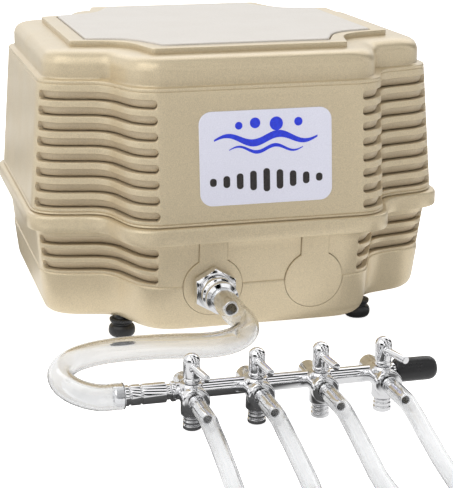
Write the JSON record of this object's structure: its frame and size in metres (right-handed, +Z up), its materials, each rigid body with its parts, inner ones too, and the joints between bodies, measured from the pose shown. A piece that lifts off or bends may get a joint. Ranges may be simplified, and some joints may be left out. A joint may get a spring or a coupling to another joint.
{
  "type": "aquarium air pump",
  "caption": "Electromagnetic diaphragm air pump with a two-part louvered casing, barbed outlet, clear hose, lever-valve manifold and coiled clear air tubes.",
  "frame": {"origin": "on the surface it stands on, at the middle of the pump's own plan (nozzle tip to gland end, and side to side)", "axes": "+Z up; the air outlet and the manifold are on the -Y side; +X is to the right when facing the outlet side"},
  "size_m": [0.181, 0.4857, 0.1215],
  "materials": {
    "gold_casing": "satin champagne metallic paint with a fine texture",
    "top_panel": "satin pale champagne",
    "label": "satin printed foil",
    "chrome": "polished plate on brass",
    "black_rubber": "semi-gloss moulded",
    "black_nylon": "moulded",
    "foam": "open-cell foam",
    "steel": "laminated and plated",
    "copper_winding": "enamelled wire",
    "tie": "soft strap",
    "clear_tube": "clear soft tube"
  },
  "bodies": {
    "root": {"upper_housing": "gold_casing", "lower_housing": "gold_casing", "top_panel": "top_panel", "label_plate": "label", "foot_front_left": "black_rubber", "foot_front_right": "black_rubber", "foot_rear_left": "black_rubber", "foot_rear_right": "black_rubber", "outlet_insert": "gold_casing", "blank_insert": "gold_casing", "outlet_nut": "chrome", "outlet_nozzle": "chrome", "cable_gland": "black_rubber", "intake_cover": "black_nylon", "foam_filter": "foam", "motor_frame": "steel", "vibration_mount_front_left": "black_rubber", "vibration_mount_front_right": "black_rubber", "vibration_mount_rear_left": "black_rubber", "vibration_mount_rear_right": "black_rubber", "magnet_core_front": "steel", "magnet_core_rear": "steel", "magnet_coil_front": "copper_winding", "magnet_coil_rear": "copper_winding", "diaphragm_left": "black_rubber", "clamp_ring_left": "black_nylon", "pump_head_left": "black_nylon", "head_hose_left": "black_rubber", "diaphragm_right": "black_rubber", "clamp_ring_right": "black_nylon", "pump_head_right": "black_nylon", "head_hose_right": "black_rubber", "air_joint": "black_nylon", "manifold_pipe": "chrome", "manifold_end_cap": "black_rubber", "valve_body_1": "chrome", "valve_nut_1": "chrome", "valve_body_2": "chrome", "valve_nut_2": "chrome", "valve_body_3": "chrome", "valve_nut_3": "chrome", "valve_body_4": "chrome", "valve_nut_4": "chrome", "main_hose": "clear_tube", "air_tube_1": "clear_tube", "tube_coil_1": "clear_tube", "air_tube_2": "clear_tube", "tube_coil_2": "clear_tube", "air_tube_3": "clear_tube", "tube_coil_3": "clear_tube", "air_tube_4": "clear_tube", "tube_coil_4": "clear_tube", "coil_tie": "tie"},
    "lever_1": {"valve_stem_1": "chrome"},
    "lever_2": {"valve_stem_2": "chrome"},
    "lever_3": {"valve_stem_3": "chrome"},
    "lever_4": {"valve_stem_4": "chrome"},
    "armature": {"armature": "steel"}
  },
  "joints": [
    {"name": "valve_1_turn", "type": "hinge", "parent": "root", "child": "lever_1", "pos_m": [-0.0467, -0.15405, 0.02], "axis": [0, 0, 1], "range_deg": [-90, 90]},
    {"name": "valve_2_turn", "type": "hinge", "parent": "root", "child": "lever_2", "pos_m": [-0.0231, -0.15405, 0.02], "axis": [0, 0, 1], "range_deg": [-90, 90]},
    {"name": "valve_3_turn", "type": "hinge", "parent": "root", "child": "lever_3", "pos_m": [0.0005, -0.15405, 0.02], "axis": [0, 0, 1], "range_deg": [-90, 90]},
    {"name": "valve_4_turn", "type": "hinge", "parent": "root", "child": "lever_4", "pos_m": [0.0241, -0.15405, 0.02], "axis": [0, 0, 1], "range_deg": [-90, 90]},
    {"name": "armature_slide", "type": "slide", "parent": "root", "child": "armature", "axis": [1, 0, 0], "range_m": [-0.0015, 0.0015], "stiffness_N_per_m": 2000}
  ]
}
